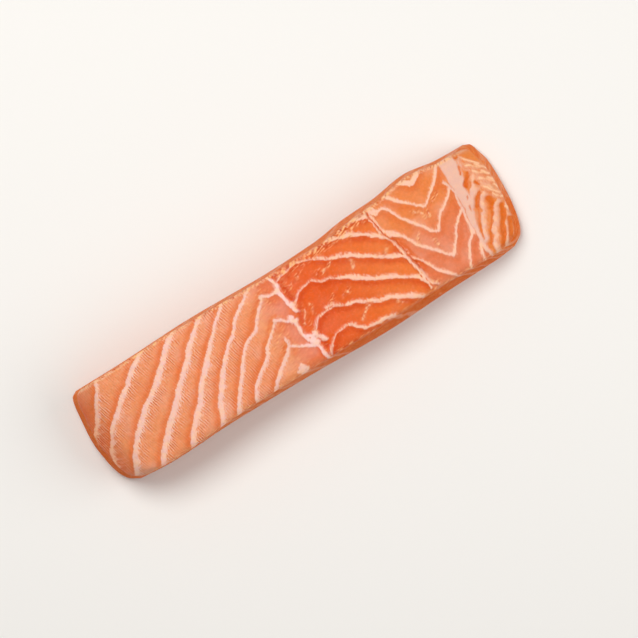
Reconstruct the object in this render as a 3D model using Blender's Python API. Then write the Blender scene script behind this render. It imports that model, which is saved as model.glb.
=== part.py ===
"""Raw salmon fillet: one strip cut across a boned side of salmon, lying on its skinned side.

+X runs from the thick loin end (-X) to the thin belly flap (+X), +Y is the side of the strip
that bulges at the belly, and +Z is up. The origin is the middle of the flat underside.
Lengths are written in millimetres and turned into metres as the vertices are placed.
"""
import math

import bmesh
import bpy
import numpy as np

MM = 0.001

# Driving dimensions of the strip
LENGTH = 180.0
FOOT_ROUND = 1.5
FOOT_SHARE = 0.20

# Long sides seen from above, as (x, distance from the middle line)
UPPER_SIDE = ((-90, 19.4), (-68, 19.3), (-38, 19.9), (0, 18.9), (18, 19.3), (33, 21.0), (45, 21.4),
              (60, 23.2), (74, 21.2), (90, 20.6))
LOWER_SIDE = ((-90, 20.0), (-66, 22.0), (-42, 21.4), (-8, 21.9), (26, 23.2), (54, 22.4), (72, 22.2),
              (90, 20.2))

# Ends seen from above, as (share of the half width, how far the end stands in from the full length)
LOIN_END = ((-1, 8.2), (-0.9, 4.5), (-0.72, 2.2), (-0.4, 0.7), (0, 0), (0.5, 0.9), (0.8, 1.7), (0.93, 2.6),
            (1, 4.8))
FLAP_END = ((-1, 8.5), (-0.9, 4.5), (-0.76, 2.8), (-0.5, 1.4), (-0.25, 0.6), (0.3, 0), (0.55, 0.2),
            (0.74, 1.2), (0.94, 2.6), (1, 5.2))

# Thickness along the strip, as (x, height of the boned face)
HEIGHT = ((-90, 19.5), (-74, 25.0), (-50, 27.2), (-12, 26.0), (5, 24.0), (38, 21.0), (60, 17.2), (76, 13.8),
          (90, 11.5))
CROWN = 0.7

# The cut sides lean out below the boned face, as (x, how far the face's edge stands in)
UPPER_LEAN = ((-90, 0.5), (-50, 0.7), (-35, 1.3), (5, 1.4), (28, 2.4), (45, 1.9), (60, 1.5), (90, 1.3))
LOWER_LEAN = ((-90, 0.4), (-58, 0.6), (-35, 1.5), (-5, 2.1), (15, 3.0), (42, 3.2), (70, 2.3), (90, 1.5))
LOIN_LEAN = 2.2
FLAP_LEAN = 2.4

# Rounding where the boned face meets the sides and the ends: (drop, how far in it starts)
SIDE_ROUND = (1.2, 3.0)
LOIN_ROUND = (4.5, 8.0)
FLAP_ROUND = (3.0, 7.0)

# White sheets between the muscle blocks of the loin, each by its x at y = 18, 0 and -20
LOIN_SHEETS = ((-76.0, -88.0, -99.0), (-58.0, -80.0, -91.5), (-45.0, -65.5, -82.0), (-32.3, -51.1, -71.6),
               (-22.8, -41.0, -57.8), (-11.4, -31.4, -45.4), (-1.0, -22.0, -37.7), (8.5, -11.0, -30.0),
               (18.0, -1.5, -22.5))
SHEET_Y = (18.0, 0.0, -20.0)
SHEET_GROOVE = (0.35, 1.6)

# Seam between loin and belly, as (y, x)
SEAM = ((-20, 0.5), (-11, 0.4), (-5, -2.2), (1, -0.5), (7, -1.4), (12.5, -0.8), (18, -2.6))
SEAM_GROOVE = (0.7, 1.3)

# Rib marks in the upper belly: one humped curve, as (x, y below its crest), repeated down the strip
RIB_CURVE = ((0, -7.5), (4.5, -1.0), (9.5, 0), (15, -2.8), (25, -7.4), (46, -21.0))
RIB_CRESTS = (25.5, 16.4, 7.2, -4.4, -13.2)
RIB_RIDGE = (0.35, 1.3)

# Trimmed edge of the rib cage, as (y, x): a lip, a narrow gutter and a step down to the lower belly
RIB_EDGE = ((-20, 48.4), (-8, 46.6), (1, 44.4), (10, 42.2), (19, 40.8))
RIB_STEP = (0.8, 2.4)
RIB_GUTTER = (0.7, 1.2)
RIB_LIP = (0.4, 2.0)

# Folded muscle blocks of the lower belly: chevrons one below another
CHEVRON_X = 60.0
CHEVRON_TIPS = (18.4, 8.4, -1.6, -12.2, -23.0)
CHEVRON_SLOPES = (1.25, 1.05)
CHEVRON_GROOVE = (0.35, 1.3)

# Belly flap: a raised band of fat, then slanting furrows out to the rim
FAT_BAND = ((-20, 71.0), (-8, 72.4), (2, 74.0), (12, 75.2), (19, 76.0))
FAT_RIDGE = (0.5, 2.2)
FURROW_ANGLE = math.radians(58)
FURROW_PITCH = 4.15
FURROW_START = 64.5
FURROW_DEPTH = 0.55
FURROW_X = (74.0, 79.0)

# Vertex rows along the strip, across it and up its sides, closer together near the edges.
# Near the rib edge the cross rows slant with it, as (middle of the slant, its reach, its offset).
ROWS = (110, 28, 6)
EDGE_CROWDING = (0.07, 0.3)
ROW_SLANT = (44.6, 22.0, 3.8)

FLESH_COLOUR = (0.86, 0.32, 0.16, 1.0)
FLESH_ROUGHNESS = 0.38


def curve(stations, at):
    """Height at each place on the smooth curve through the stations, with its crests at stations."""
    place, value = np.array(stations, dtype=float).T
    step = np.diff(place)
    rise = np.diff(value) / step
    before, after = rise[:-1], rise[1:]
    same_way = before * after > 0
    total = np.where(same_way, before + after, 1.0)
    inner = np.where(same_way, 2 * before * after / total, 0.0)
    slope = np.concatenate(([rise[0]], inner, [rise[-1]]))
    at = np.clip(at, place[0], place[-1])
    k = np.clip(np.searchsorted(place, at) - 1, 0, len(step) - 1)
    t = (at - place[k]) / step[k]
    start = value[k] * (1 + 2 * t) * (1 - t) ** 2 + value[k + 1] * t * t * (3 - 2 * t)
    return start + step[k] * t * (1 - t) * (slope[k] * (1 - t) - slope[k + 1] * t)


def smooth_step(value, low, high):
    """0 below low, 1 above high and an S curve between."""
    t = np.clip((value - low) / (high - low), 0.0, 1.0)
    return t * t * (3 - 2 * t)


def bump(distance, size):
    """Rounded ridge of size (height, half width) at a distance from its middle line."""
    height, width = size
    return height * np.exp(-(distance / width) ** 2)


def inset(level, lean):
    """How far the side stands in at a level, 0 at the underside and 1 at the boned face."""
    foot = FOOT_ROUND * np.clip(1 - level / FOOT_SHARE, 0, 1) ** 2
    return lean * level ** 2 + foot


def plan(u, v, level):
    """Place in plan of the grid point (u, v), both -1 to 1, on the outline at a level."""
    left = -LENGTH / 2 + curve(LOIN_END, v) + inset(level, LOIN_LEAN)
    right = LENGTH / 2 - curve(FLAP_END, v) - inset(level, FLAP_LEAN)
    x = left + (right - left) * (u + 1) / 2
    middle, reach, offset = ROW_SLANT
    x = x - offset * v * (1 - u ** 2) * np.exp(-((x - middle) / reach) ** 2)
    low = -curve(LOWER_SIDE, x) + inset(level, curve(LOWER_LEAN, x))
    high = curve(UPPER_SIDE, x) - inset(level, curve(UPPER_LEAN, x))
    y = low + (high - low) * (v + 1) / 2
    return x, y, (x - left, right - x, y - low, high - y)


def loin_relief(x, y):
    """Shallow grooves where the white sheets meet the face, and the seam that ends the loin."""
    across = x - curve(SEAM, y)
    relief = -bump(across, SEAM_GROOVE)
    loin = 1 - smooth_step(across, -6.0, -1.0)
    for stations in LOIN_SHEETS:
        bend = np.polyfit(SHEET_Y, stations, 2)
        tilt = np.polyval(np.polyder(bend), y)
        distance = (x - np.polyval(bend, y)) / np.hypot(1.0, tilt)
        relief = relief - loin * bump(distance, SHEET_GROOVE)
    return relief


def belly_relief(x, y):
    """Rib marks, the trimmed rib edge with its step, and the chevrons below it."""
    past_edge = x - curve(RIB_EDGE, y)
    ribs = smooth_step(x, 0.0, 5.0) * (1 - smooth_step(past_edge, -3.0, 0.0))
    relief = ribs * sum(bump(y - crest - curve(RIB_CURVE, x), RIB_RIDGE) for crest in RIB_CRESTS)
    relief = relief + bump(past_edge + 1.5, RIB_LIP) - bump(past_edge - 0.5, RIB_GUTTER)
    depth, width = RIB_STEP
    relief = relief - depth * smooth_step(past_edge, -width / 2, width / 2)
    chevrons = smooth_step(past_edge, 1.0, 4.0) * (1 - smooth_step(x, 70.0, 73.0))
    near, far = CHEVRON_SLOPES
    arms = np.where(x < CHEVRON_X, near * (CHEVRON_X - x), far * (x - CHEVRON_X))
    for tip in CHEVRON_TIPS:
        relief = relief - chevrons * bump((y - tip - arms) / math.hypot(1.0, near), CHEVRON_GROOVE)
    return relief


def flap_relief(x, y):
    """Raised band of fat, then slanting furrows that fade out at the band."""
    relief = bump(x - curve(FAT_BAND, y), FAT_RIDGE)
    across = x * math.sin(FURROW_ANGLE) - y * math.cos(FURROW_ANGLE) - FURROW_START
    furrows = FURROW_DEPTH * np.cos(2 * math.pi * across / FURROW_PITCH)
    return relief + furrows * smooth_step(x, *FURROW_X)


def face_height(x, y, edges):
    """Height of the boned face, given the distances to the loin end, flap end and two sides."""
    loin, flap, low, high = edges
    height = curve(HEIGHT, x) + CROWN * (1 - ((low - high) / (low + high)) ** 2)
    near_side = np.minimum(low, high)
    for distance, (drop, reach) in ((loin, LOIN_ROUND), (flap, FLAP_ROUND), (near_side, SIDE_ROUND)):
        height = height - drop * np.clip(1 - distance / reach, 0, 1) ** 2
    inland = smooth_step(np.minimum(near_side, np.minimum(loin, flap)), 0.0, 2.0)
    return height + (loin_relief(x, y) + belly_relief(x, y) + flap_relief(x, y)) * (0.4 + 0.6 * inland)


def form(u, v, w):
    """Places in millimetres of grid points (u, v, w) of a cube that reaches from -1 to 1."""
    u = u + EDGE_CROWDING[0] * u * (1 - u ** 2)
    v = v + EDGE_CROWDING[1] * v * (1 - v ** 2)
    level = (w + 1) / 2
    top_x, top_y, edges = plan(u, v, 1.0)
    x, y, _ = plan(u, v, level)
    return x, y, level * face_height(top_x, top_y, edges)


def grid_cube(rows):
    """Closed cube from -1 to 1 whose faces are cut into rows along each axis."""
    bm = bmesh.new()
    bmesh.ops.create_cube(bm, size=2.0)
    for axis, count in enumerate(rows):
        runs = [e for e in bm.edges if abs(e.verts[0].co[axis] - e.verts[1].co[axis]) > 1.0]
        bmesh.ops.subdivide_edges(bm, edges=runs, cuts=count - 1, use_grid_fill=True)
    return bm


def flesh_material():
    material = bpy.data.materials.new("salmon_flesh")
    material.use_nodes = True
    shader = material.node_tree.nodes["Principled BSDF"]
    shader.inputs["Base Color"].default_value = FLESH_COLOUR
    shader.inputs["Roughness"].default_value = FLESH_ROUGHNESS
    shader.inputs["Metallic"].default_value = 0.0
    return material


def salmon_fillet(collection):
    """The strip as one solid: a grid cube pulled into shape, its underside one flat face."""
    bm = grid_cube(ROWS)
    underside = [f for f in bm.faces if f.normal.z < -0.5]
    bmesh.ops.dissolve_faces(bm, faces=underside, use_verts=True)
    bm.verts.ensure_lookup_table()
    cube = np.array([v.co for v in bm.verts], dtype=float)
    for vertex, place in zip(bm.verts, np.column_stack(form(*cube.T)) * MM):
        vertex.co = place
    mesh = bpy.data.meshes.new("salmon_fillet")
    bm.to_mesh(mesh)
    bm.free()
    mesh.shade_smooth()
    mesh.set_sharp_from_angle(angle=math.radians(50))
    mesh.materials.append(flesh_material())
    fillet = bpy.data.objects.new("salmon_fillet", mesh)
    collection.objects.link(fillet)
    return fillet


def main():
    for old in list(bpy.data.objects):
        bpy.data.objects.remove(old, do_unlink=True)
    collection = bpy.data.collections.new("raw_salmon_fillet")
    bpy.context.scene.collection.children.link(collection)
    salmon_fillet(collection)


main()
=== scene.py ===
import itertools
import math

import bmesh
import bpy
import numpy as np
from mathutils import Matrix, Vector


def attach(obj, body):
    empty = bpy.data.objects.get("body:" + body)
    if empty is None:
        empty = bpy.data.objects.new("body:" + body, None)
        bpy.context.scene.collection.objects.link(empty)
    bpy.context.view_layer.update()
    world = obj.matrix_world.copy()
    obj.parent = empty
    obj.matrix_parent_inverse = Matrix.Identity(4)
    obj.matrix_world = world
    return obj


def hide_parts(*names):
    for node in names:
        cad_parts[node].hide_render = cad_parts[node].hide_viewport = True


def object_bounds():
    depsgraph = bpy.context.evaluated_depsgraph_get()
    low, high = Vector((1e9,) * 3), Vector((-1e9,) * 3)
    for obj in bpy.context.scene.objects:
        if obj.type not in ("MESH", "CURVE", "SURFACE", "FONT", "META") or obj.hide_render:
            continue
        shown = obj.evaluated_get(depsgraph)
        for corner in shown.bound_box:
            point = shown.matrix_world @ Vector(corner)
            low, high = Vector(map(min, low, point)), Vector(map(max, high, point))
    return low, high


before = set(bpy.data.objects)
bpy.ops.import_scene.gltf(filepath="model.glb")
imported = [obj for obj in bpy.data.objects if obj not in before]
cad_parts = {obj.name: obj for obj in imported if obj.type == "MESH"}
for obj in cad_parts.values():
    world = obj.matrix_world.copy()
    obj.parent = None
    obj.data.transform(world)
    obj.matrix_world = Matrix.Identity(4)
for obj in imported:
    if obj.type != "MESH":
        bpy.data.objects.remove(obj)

cad_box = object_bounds()

# Raw salmon fillet: the strip's form with its muscle bands, seams and fat.
# Lengths are written in millimetres and turned into metres as the vertices are placed.
MM = 0.001
NODE = "salmon_fillet"

# Form of the strip, as the solid has it
LENGTH = 180.0
FOOT_ROUND = 1.5
FOOT_SHARE = 0.20
UPPER_SIDE = ((-90, 19.4), (-68, 19.3), (-38, 19.9), (0, 18.9), (18, 19.3), (33, 21.0), (45, 21.4),
              (60, 23.2), (74, 21.2), (90, 20.6))
LOWER_SIDE = ((-90, 20.0), (-66, 22.0), (-42, 21.4), (-8, 21.9), (26, 23.2), (54, 22.4), (72, 22.2),
              (90, 20.2))
LOIN_END = ((-1, 8.2), (-0.9, 4.5), (-0.72, 2.2), (-0.4, 0.7), (0, 0), (0.5, 0.9), (0.8, 1.7),
            (0.93, 2.6), (1, 4.8))
FLAP_END = ((-1, 8.5), (-0.9, 4.5), (-0.76, 2.8), (-0.5, 1.4), (-0.25, 0.6), (0.3, 0), (0.55, 0.2),
            (0.74, 1.2), (0.94, 2.6), (1, 5.2))
HEIGHT = ((-90, 19.5), (-74, 25.0), (-50, 27.2), (-12, 26.0), (5, 24.0), (38, 21.0), (60, 17.2),
          (76, 13.8), (90, 11.5))
CROWN = 0.7
UPPER_LEAN = ((-90, 0.5), (-50, 0.7), (-35, 1.3), (5, 1.4), (28, 2.4), (45, 1.9), (60, 1.5), (90, 1.3))
LOWER_LEAN = ((-90, 0.4), (-58, 0.6), (-35, 1.5), (-5, 2.1), (15, 3.0), (42, 3.2), (70, 2.3), (90, 1.5))
LOIN_LEAN = 2.2
FLAP_LEAN = 2.4
SIDE_ROUND = (1.2, 3.0)
LOIN_ROUND = (4.5, 8.0)
FLAP_ROUND = (3.0, 7.0)
RIB_STEP = (0.8, 1.6)
RIB_EDGE = ((-20, 48.4), (-8, 46.6), (1, 44.4), (10, 42.2), (19, 40.8))
ROW_SLANT = (44.6, 22.0, 3.8)

# Rows of the fine mesh along the strip, across it and up its sides, how they crowd to the edges, how
# many of them the underside merges, how far out a cube's point lies on its face, and the sharpest bend
# that is still shaded smooth
ROWS = (500, 130, 18)
CROWDING = (0.07, 0.3, 0.25)
UNDERSIDE_MERGE = 4
ON_FACE = 0.999
SMOOTH_BEND = math.radians(60)

# Pale sheets between the muscle blocks of the loin, each a line through (x, y) points of the boned face,
# then along the strip the half width of the sheets and how far they fade into the block behind, shifts
# of the first line to sheets that meet only the thick end's side, and how far all of them lean toward
# the flap as they go down
LOIN_LINES = (
    ((-75.5, 20), (-78.0, 15.6), (-81.2, 10.5), (-84.4, 5.5), (-87.2, 1.6), (-90, -3)),
    ((-55.5, 20), (-61.8, 15.6), (-68.4, 10.5), (-74.6, 5.5), (-81.2, -1), (-85.5, -6.7),
     (-87.4, -13)),
    ((-42.5, 20), (-50.7, 12.9), (-57.1, 7.2), (-65.5, 0.8), (-71.6, -4.6), (-75.2, -8), (-79.6, -13.9),
     (-83.6, -22)),
    ((-30.0, 20), (-37.2, 13.9), (-44.3, 7.2), (-51.2, 0.4), (-59.3, -7.4), (-66.8, -14.5),
     (-73.5, -22.5)),
    ((-20.4, 20), (-28.2, 12.9), (-35.6, 5.2), (-42.3, -1.4), (-48.9, -9.2), (-56.1, -16.7),
     (-59.4, -22.5)),
    ((-9.2, 20), (-15.9, 14), (-20.4, 10.8), (-25.7, 5.5), (-31.6, 0.1), (-39.1, -9.2), (-46.6, -22)),
    ((-8.7, 12.0), (-13.9, 6.5), (-17.9, 2.8), (-22.4, 0.1), (-28.8, -7.1), (-33.6, -13.1), (-39.2, -22)),
    ((-8.6, 2.0), (-12.1, -1), (-16.1, -4.6), (-19.1, -8.6), (-24.9, -12.2), (-31.6, -22)),
    ((-9.0, -8.0), (-12.7, -11.4), (-17.3, -14.9), (-23.4, -21)),
)
LOIN_WIDTH = ((-90, 0.34), (-78, 0.66), (-62, 0.84), (-45, 0.78), (-28, 0.55), (-9, 0.42))
LOIN_FADE = ((-90, 0.5), (-75, 0.8), (-55, 0.9), (-30, 0.6), (-9, 0.4))
HIDDEN_SHEETS = (-13.5, -22.5, -31.5)
SHEET_LEAN = 0.5

# Seam where the loin meets the belly: thin tissue lines, knots and a pale patch as (x, y, radius), and
# red pockets
SEAM_LINES = (
    ((-3.6, 19.5), (-1.9, 15.5), (-1.0, 13.0), (-1.9, 10.0), (-1.4, 7.0), (-1.0, 4.2), (-0.3, 1.2)),
    ((-8.7, 12.0), (-5.5, 10.9), (-3.0, 10.9), (-1.2, 12.4)),
    ((-8.6, 2.0), (-6.2, 0.7), (-4.2, -0.6), (-3.0, -1.5)),
    ((-9.2, -5.2), (-9.0, -8.2), (-7.2, -9.8), (-3.8, -11.6), (-0.9, -13.6)),
    ((-3.0, -1.5), (-2.6, -4.5), (-2.3, -8.3), (-0.6, -9.8), (1.4, -10.4)),
    ((-2.3, -8.3), (-1.8, -10.6), (-0.6, -12.6), (0.5, -15.0), (0.6, -20.5)),
    ((1.2, -10.7), (2.4, -11.6), (4.0, -13.6)),
)
SEAM_WIDTH = 0.50
KNOTS = ((-0.9, 12.8, 1.9), (-2.4, 11.2, 1.5), (-3.2, 0.3, 2.0), (-2.6, -1.7, 1.6), (-0.1, 3.9, 1.3),
         (1.3, -9.8, 1.6), (-0.4, -11.0, 1.9), (0.1, -13.0, 1.5), (3.2, -13.0, 1.0), (-9.0, -6.6, 1.3),
         (-8.9, 11.9, 1.2), (-8.6, 2.1, 1.3))
PATCH = (-9.4, -18.6, 2.6)
POCKETS = (
    ((0.9, 11.2), (0.8, 8.0), (1.2, 5.0)),
    ((-0.3, 0.2), (-0.6, -3.8)),
    ((-1.2, 18.2), (0.2, 15.6)),
    ((2.4, -13.6), (3.4, -15.8)),
)
POCKET_WIDTH = 1.0

# Rib marks of the upper belly, and how their half width changes along the strip
RIB_LINES = (
    ((29.5, 20.2), (33.0, 19.4), (37.0, 18.4), (40.6, 17.0)),
    ((19.5, 18.6), (25.7, 16.3), (30.0, 15.0), (33.2, 13.4), (36.8, 11.1), (41.1, 7.6), (43.2, 5.8)),
    ((0.3, 13.8), (3.0, 15.3), (7.5, 16.0), (13.6, 14.7), (16.8, 13.5), (19.6, 11.7), (23.5, 10.0),
     (28.2, 7.6), (33.9, 4.0), (39.3, 0.3), (43.9, -2.8), (45.5, -4.0)),
    ((-0.2, 1.4), (2.9, 5.2), (4.8, 6.9), (9.5, 7.9), (13.2, 5.1), (18.2, 3.8), (22.9, 1.5), (27.5, -1.9),
     (33.2, -5.1), (38.9, -8.3), (43.6, -11.5), (46.6, -15.3)),
    ((1.4, -10.0), (3.6, -7.2), (6.0, -5.3), (12.3, -4.6), (16.0, -6.7), (19.6, -7.4), (25.0, -10.3),
     (30.4, -12.4), (36.0, -15.1), (42.6, -19.0)),
    ((2.8, -19.5), (5.4, -16.2), (8.5, -13.6), (13.6, -13.5), (17.5, -16.7), (20.0, -18.0), (26.4, -19.0),
     (30.0, -20.0)),
    ((9.8, -3.8), (12.0, -3.4), (14.0, -4.9)),
)
RIB_WIDTH = ((-1, 0.28), (8, 0.28), (16, 0.36), (27, 0.60), (38, 0.52), (46, 0.38))
RIB_STRENGTH = ((-1, 0.80), (4, 0.62), (12, 0.66), (20, 0.90), (46, 0.95))

# Torn flecks on the belly, partly painted glints: each a broken short path, their width, and how far
# around them it is torn
FLECKS_AND_GLINTS = (
    ((15.6, 7.1), (17.4, 8.4), (20.0, 9.4)),
    ((13.2, 8.2), (15.0, 9.2)),
    ((5.6, 10.8), (8.8, 12.4)),
    ((2.4, 9.6), (4.4, 10.8)),
    ((12.4, -3.2), (14.4, -1.2)),
    ((17.4, -3.4), (19.0, -2.6), (21.0, -2.2)),
    ((19.2, -14.0), (21.4, -12.4), (24.8, -11.2)),
    ((26.2, 3.6), (26.9, 6.4)),
    ((5.0, -3.0), (5.4, 0.4)),
    ((0.8, -4.4), (2.2, -0.6)),
    ((8.0, -21.2), (11.8, -20.4)),
    ((30.4, 13.4), (33.0, 15.6)),
    ((33.2, -15.4), (36.4, -17.2)),
    ((38.4, 1.4), (41.0, 3.4)),
    ((55.6, 9.6), (57.2, 8.0)),
    ((58.2, 7.4), (58.8, 4.6)),
    ((60.6, 6.8), (60.2, 4.6)),
    ((57.2, -3.2), (57.6, -6.6)),
    ((51.4, -2.0), (53.4, 1.8)),
    ((64.0, 9.0), (66.6, 10.2)),
    ((48.6, -15.4), (50.8, -17.6)),
)
FLECK_WIDTH = 0.50
FLECK_SPREAD = 1.1

# Membrane along the trimmed rib edge, its wedges as (half width, points), and the gutter and hollow
# beside it, which are pressed in and darkened with painted shade
EDGE_LINES = (
    ((39.8, 20.0), (40.4, 18.2), (41.3, 13.6), (41.6, 10.3), (42.7, 5.7), (43.9, 1.5), (44.7, -2.7),
     (45.0, -5.2), (46.0, -10.6), (46.8, -17.7)),
    ((41.8, 17.6), (42.3, 13.6), (42.6, 10.3), (43.8, 6.4), (45.4, 4.7)),
    ((46.3, -8.5), (47.3, -12.7), (48.2, -16.0), (49.9, -18.3)),
)
EDGE_WIDTH = 0.36
EDGE_WEDGES = ((0.85, ((42.2, 19.0), (44.2, 16.6))), (0.80, ((43.9, 7.9), (46.4, 5.0))))
GUTTER_LINE = ((41.1, 18.2), (41.8, 13.6), (42.1, 10.3), (43.0, 6.4), (44.4, 2.8), (45.2, 0.6),
               (45.9, -3.4), (46.6, -6.6), (46.9, -9.5))
HOLLOW_LINE = ((45.6, 3.4), (46.6, -0.4), (47.3, -4.0), (47.6, -7.6), (48.4, -11.0))

# Folded muscle blocks of the lower belly, as (half width of the line, points)
CHEVRON_LINES = (
    (0.80, ((56.6, 22.6), (58.9, 19.9), (60.2, 18.6), (61.2, 18.6), (62.8, 19.9), (65.2, 21.4))),
    (0.40, ((47.8, 22.0), (50.7, 18.3), (55.4, 13.3), (59.3, 9.4), (60.4, 8.6))),
    (0.38, ((60.4, 8.6), (62.1, 9.5), (65.0, 12.2), (67.9, 14.4), (70.4, 17.2), (73.2, 20.4))),
    (0.42, ((43.4, 17.4), (45.2, 16.5), (46.6, 16.3), (47.6, 15.3), (50.4, 10.1), (55.0, 4.4),
            (58.9, -0.6), (60.0, -1.6))),
    (0.36, ((60.0, -1.6), (61.4, 0.0), (64.3, 2.9), (69.6, 7.0), (71.8, 9.8))),
    (0.42, ((45.6, 5.0), (47.4, 4.2), (48.9, 2.0), (50.4, -1.0), (55.0, -6.7), (58.9, -11.4),
            (60.2, -12.4))),
    (0.36, ((60.2, -12.4), (61.4, -10.9), (64.3, -7.4), (68.6, -2.1), (72.0, 1.2))),
    (0.36, ((44.6, 0.4), (45.6, -2.4), (47.0, -5.4), (49.4, -9.0), (52.8, -14.3), (55.4, -17.4),
            (59.0, -21.4))),
    (0.36, ((62.2, -21.5), (63.9, -18.1), (65.7, -14.9), (69.6, -9.5), (71.6, -5.0))),
    (0.36, ((69.0, -21.0), (70.1, -16.3), (70.8, -14.0))),
    (0.36, ((71.2, 13.0), (72.4, 9.7), (72.7, 6.5), (72.1, 3.3), (71.7, 0.8), (71.3, -4.2),
            (70.6, -9.2))),
)

# Band of fat at the belly flap, as (y, x) of its two edges, and where its colour comes in
FAT_NEAR = ((-21, 71.8), (-15, 70.9), (-10, 71.3), (-5, 71.9), (0, 72.6), (5, 73.1), (10, 73.1),
            (15, 72.8), (21, 73.4))
FAT_FAR = ((-21, 73.1), (-15, 72.7), (-10, 73.0), (-5, 74.4), (0, 76.4), (3, 77.4), (6.5, 76.9),
           (9, 77.8), (12, 79.0), (16, 79.4), (21, 79.0))
FAT_START = (70.0, 73.0)

# Crisp near edges of the flap's pale stripes, how wide they stay pale and where they have faded to orange
STRIPES = (
    ((83.0, 11.6), (80.3, 7.7), (78.3, 5.0), (76.9, 3.2), (75.6, 0.6)),
    ((81.2, 1.8), (79.6, 0.8), (78.4, -1.6), (77.9, -3.8), (76.3, -5.3), (75.0, -7.6), (73.6, -10.4),
     (72.6, -13)),
    ((84.1, -3.2), (82.1, -4.3), (80.8, -7.4), (78.4, -10.1), (77.0, -11.6), (76.6, -13.3), (74.7, -15.4),
     (74.0, -17.4), (73.8, -20.8)),
    ((86.0, -6.6), (85.0, -9.0), (82.5, -12.7), (80.3, -15.7), (78.2, -18.6), (77.7, -21)),
    ((86.4, -12.0), (85.2, -14.2), (84.2, -16.6), (82.2, -19.1), (81.4, -21)),
)
STRIPE_PALE = 0.7
STRIPE_FADED = 3.4

# Orange furrows and slots of the flap, as (half width, points), and the rim as (y, x) of its two edges
FURROWS = (
    (1.05, ((80.3, 11.0), (78.7, 9.0), (77.4, 7.4))),
    (0.50, ((78.9, 14.6), (77.9, 12.0))),
    (0.85, ((80.1, 20.8), (80.0, 18.4))),
    (0.85, ((81.3, 6.6), (82.0, 5.3))),
    (0.22, ((74.9, 0.2), (74.5, -1.9))),
    (0.25, ((76.0, 3.4), (75.6, 2.7))),
    (0.78, ((80.4, 2.8), (78.7, 0.6), (77.5, -1.6))),
    (0.36, ((77.5, -1.6), (76.3, -4.2), (75.1, -6.2), (73.8, -9.2), (73.0, -11.6))),
    (0.85, ((82.5, -0.8), (82.4, -2.4), (81.3, -4.6))),
    (0.34, ((81.3, -4.6), (80.0, -7.6), (77.8, -10.3), (76.2, -12.4), (74.2, -15.8))),
    (0.98, ((85.0, -5.4), (84.1, -7.8), (82.9, -10.2), (81.1, -13.0), (80.0, -14.8))),
    (0.62, ((80.0, -14.8), (78.6, -17.0), (77.4, -18.8), (76.8, -20.6))),
    (1.05, ((85.0, -11.6), (84.1, -13.8), (82.6, -16.4), (81.0, -19.0), (80.4, -20.8))),
    (0.60, ((85.4, -15.8), (84.2, -18.4))),
)
RIM_NEAR = ((-21, 86.5), (-16, 86.0), (-11, 85.2), (-8, 85.8), (-5.5, 86.2), (-3, 84.6), (0, 83.0),
            (3, 80.8), (5.5, 80.2), (8, 80.2), (11, 80.8), (14, 79.2), (21, 79.0))
RIM_FAR = ((-21, 85.0), (-17.5, 85.8), (-14, 86.8), (-9, 88.0), (-4, 88.7), (0, 88.9), (5, 88.9),
           (8, 88.2), (12, 86.4), (18, 81.6), (21, 79.4))

# Cream streaks of the rim, as (x, y, direction in degrees, length)
RIM_STREAKS = (
    (82.0, 16.4, -48, 6.2),
    (81.4, 13.8, -40, 5.4),
    (84.6, 12.2, -46, 5.0),
    (82.8, 10.6, -44, 5.6),
    (85.5, 8.9, -50, 4.3),
    (83.4, 7.2, -47, 5.6),
    (86.0, 5.7, -54, 4.6),
    (83.0, 3.4, -50, 6.2),
    (86.8, 2.4, -52, 2.8),
    (84.5, -0.2, -55, 6.0),
    (86.8, -2.8, -62, 3.4),
    (86.0, -7.0, -68, 4.6),
    (85.8, -11.8, -76, 3.8),
)

# Grain of the muscle: which way it runs across, its pitch, and how much shows away from a pale sheet
FIBRE_ANGLE = math.radians(16)
FIBRE_PITCH = 0.86
FIBRE_REST = 0.25

# Levels between which a cut side turns into the face
SIDE_TOP = (0.88, 0.99)

# Noise: rows of its random table, and how far drawn lines wander from their points, slowly and quickly
NOISE_TABLE = 32
WANDER = 0.50
WANDER_SIZE = 4.0
TREMBLE = 0.26
TREMBLE_SIZE = 1.4

# Unevenness of the face and of the cut sides
ROUGH = 0.10
ROUGH_SIZE = 2.2
FINE_ROUGH = 0.06
FINE_ROUGH_SIZE = 0.9
DENT = 0.25
DEEPEST_DENT = 1.2

# Square on which the six sides are laid out: its side, the shift to its corner, the flap's column and
# the rows of the underside, of the far and the close side and of the two ends
SHEET_SIDE = 185
SHEET_CORNER = (LENGTH / 2 + 1, 24, 1)
FLAP_COLUMN = 50
SHEET_ROWS = (48, 96, 125, 154)

# Screen colours of the flesh and of its deeper parts in each zone, and of the pale tissue
# Thick end's flesh, darker and redder: painted shade with a reflected red cast
SHADED_END_FLESH = (212, 78, 4)
LOIN_FLESH = (229, 142, 93)
LOIN_DEEP = (220, 108, 50)
RIB_FLESH = (222, 88, 22)
RIB_FAR_FLESH = (228, 116, 50)
RIB_DEEP = (204, 66, 12)
BELLY_FLESH = (226, 128, 66)
BELLY_LOW_FLESH = (220, 122, 82)
BELLY_DEEP = (214, 98, 40)
FLAP_FLESH = (224, 128, 62)
FLAP_DEEP = (214, 98, 8)
SIDE_FLESH = (226, 106, 42)
# Cut side along the belly, darker: painted shade
SHADED_BELLY_SIDE_FLESH = (220, 97, 28)
# Far cut side, lighter: painted reflection
FAR_SIDE_REFLECTION_FLESH = (230, 114, 52)
# Thick end's pale tissue, more orange: painted shade with a reflected red cast
SHADED_END_PALE = (252, 170, 120)
LOIN_PALE = (238, 190, 178)
BELLY_PALE = (242, 190, 168)
FAT_PALE = (228, 180, 162)
FLAP_PALE = (232, 174, 148)
SEAM_PALE = (246, 202, 196)
SEAM_FLESH = (220, 112, 70)
# Cream of the tissue, also partly painted highlight on the far edge and the flecks
TISSUE_CREAM = (250, 198, 154)
FIBRE_DARK = (208, 88, 30)
# Light torn strokes, partly painted glints
GLINT_AND_STROKE_PALE = (250, 190, 130)
STROKE_DARK = (196, 70, 20)

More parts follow.
